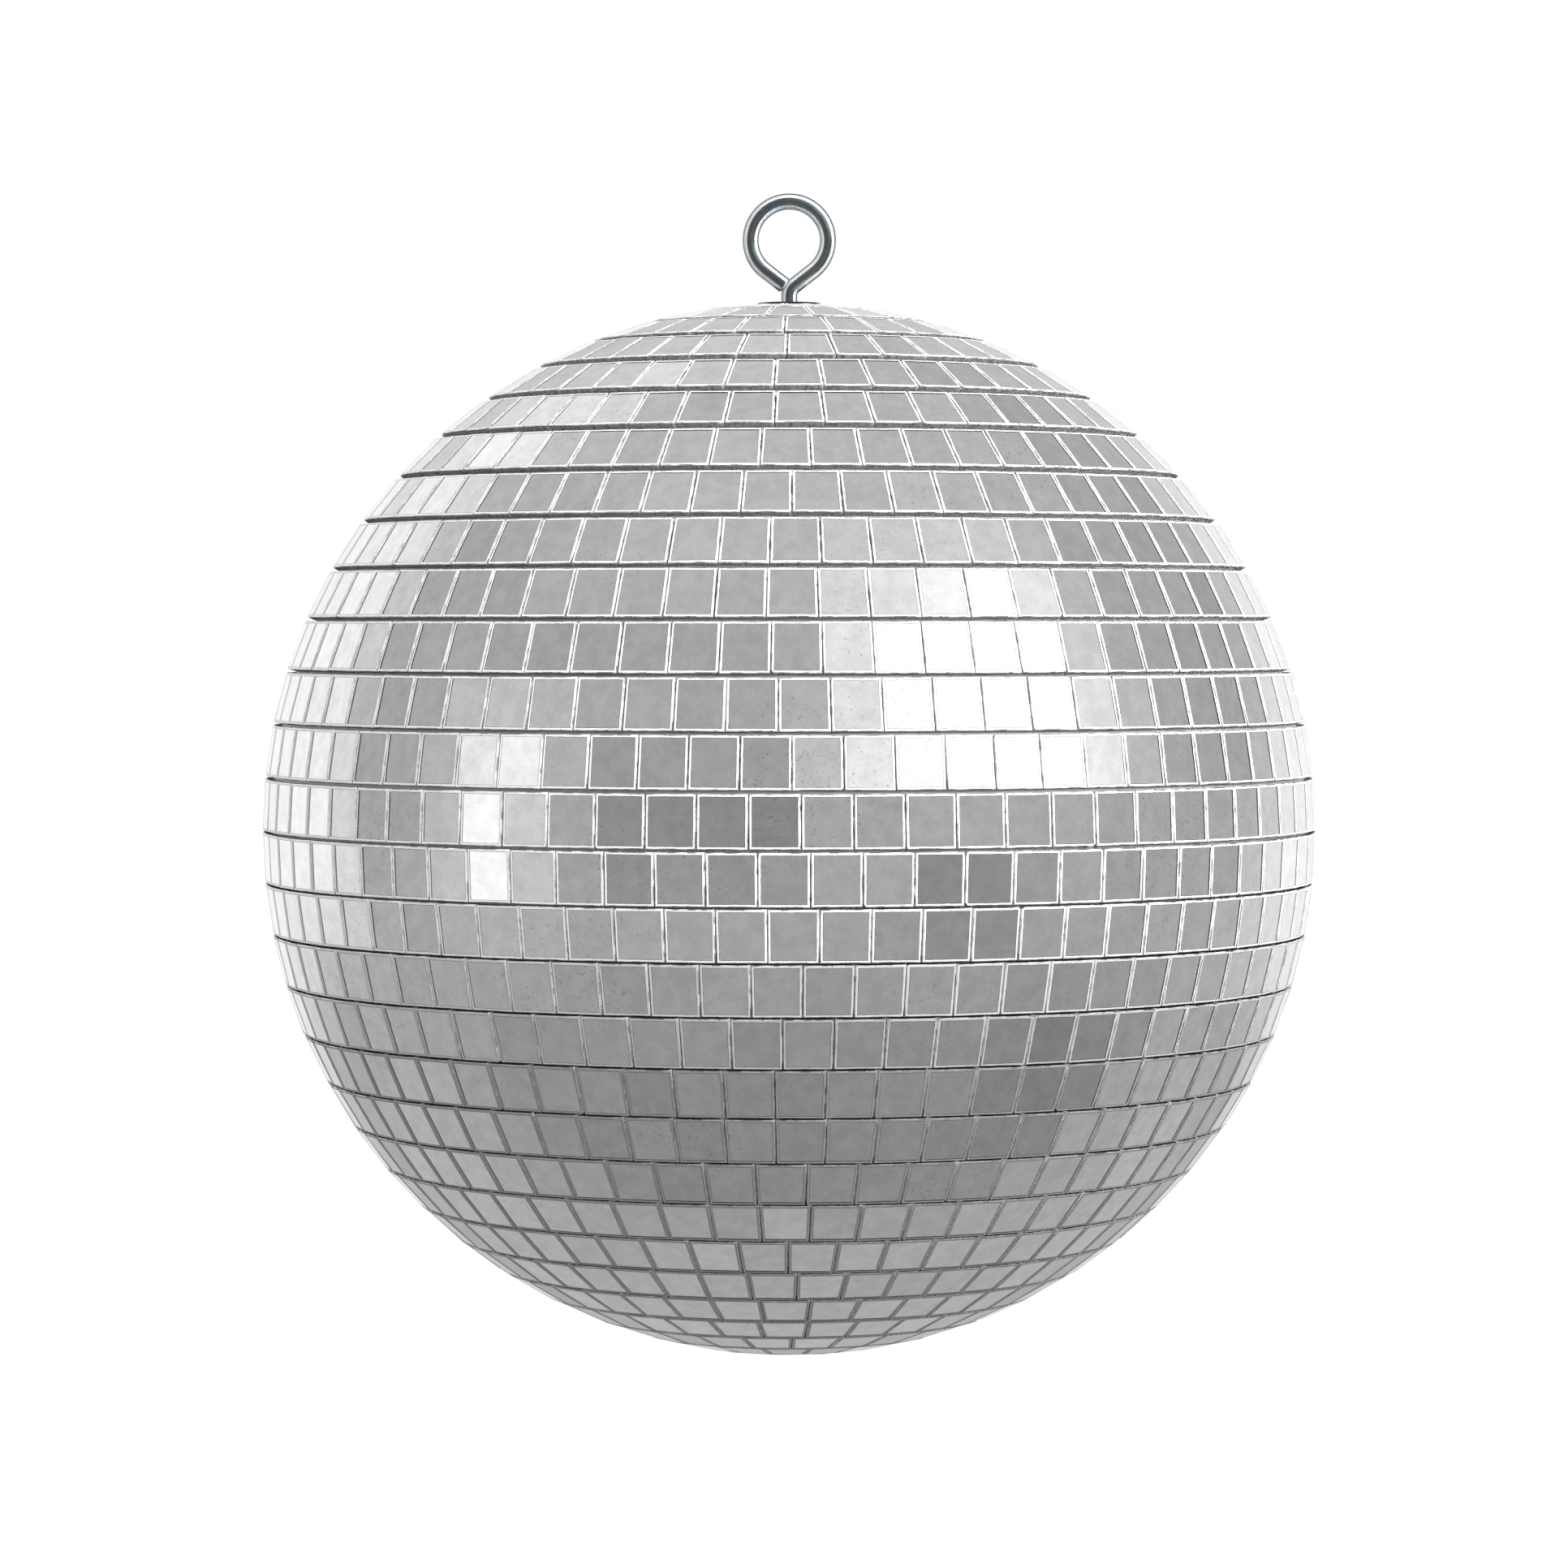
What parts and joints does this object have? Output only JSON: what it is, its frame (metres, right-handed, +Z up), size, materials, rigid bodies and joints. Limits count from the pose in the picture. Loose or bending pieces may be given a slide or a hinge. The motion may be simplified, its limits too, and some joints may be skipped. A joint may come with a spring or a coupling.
{
  "type": "mirror ball",
  "caption": "Mirror ball of flat glass tiles on two plastic half shells, turning on a wire eye bolt that hangs it.",
  "frame": {"origin": "centre of the ball", "axes": "+Z up along the shank of the eye bolt, which is the axis the ball turns about; the eye ring lies in the XZ plane and faces -Y"},
  "size_m": [0.2, 0.2, 0.2206],
  "materials": {
    "mirror_glass": "silvered float glass with ground edges",
    "cloth": "woven white backing cloth",
    "shell_plastic": "moulded white plastic",
    "glue": "hot-melt glue",
    "zinc_wire": "bright zinc plate with a blue and yellow tint",
    "dark_washer": "dark steel, fine brushed",
    "zinc_nut": "zinc plated steel"
  },
  "bodies": {
    "hanger": {"eye_bolt": "zinc_wire", "hex_nut": "zinc_nut", "jam_nut": "zinc_nut"},
    "ball": {"top_washer": "dark_washer", "inner_washer": "zinc_nut", "upper_shell": "shell_plastic", "lower_shell": "shell_plastic", "seam_glue": "glue", "upper_cloth": "cloth", "lower_cloth": "cloth", "pole_tile": "mirror_glass", "mirror_row_01": "mirror_glass", "mirror_row_02": "mirror_glass", "mirror_row_03": "mirror_glass", "mirror_row_04": "mirror_glass", "mirror_row_05": "mirror_glass", "mirror_row_06": "mirror_glass", "mirror_row_07": "mirror_glass", "mirror_row_08": "mirror_glass", "mirror_row_09": "mirror_glass", "mirror_row_10": "mirror_glass", "mirror_row_11": "mirror_glass", "mirror_row_12": "mirror_glass", "mirror_row_13": "mirror_glass", "mirror_row_14": "mirror_glass", "mirror_row_15": "mirror_glass", "mirror_row_16": "mirror_glass", "mirror_row_17": "mirror_glass", "mirror_row_18": "mirror_glass", "mirror_row_19": "mirror_glass", "mirror_row_20": "mirror_glass", "mirror_row_21": "mirror_glass", "mirror_row_22": "mirror_glass", "mirror_row_23": "mirror_glass", "mirror_row_24": "mirror_glass", "mirror_row_25": "mirror_glass", "mirror_row_26": "mirror_glass", "mirror_row_27": "mirror_glass", "mirror_row_28": "mirror_glass", "mirror_row_29": "mirror_glass", "mirror_row_30": "mirror_glass"}
  },
  "joints": [
    {"name": "ball_spin", "type": "hinge", "parent": "hanger", "child": "ball", "pos_m": [0, 0, 0], "axis": [0, 0, 1], "continuous": true}
  ]
}
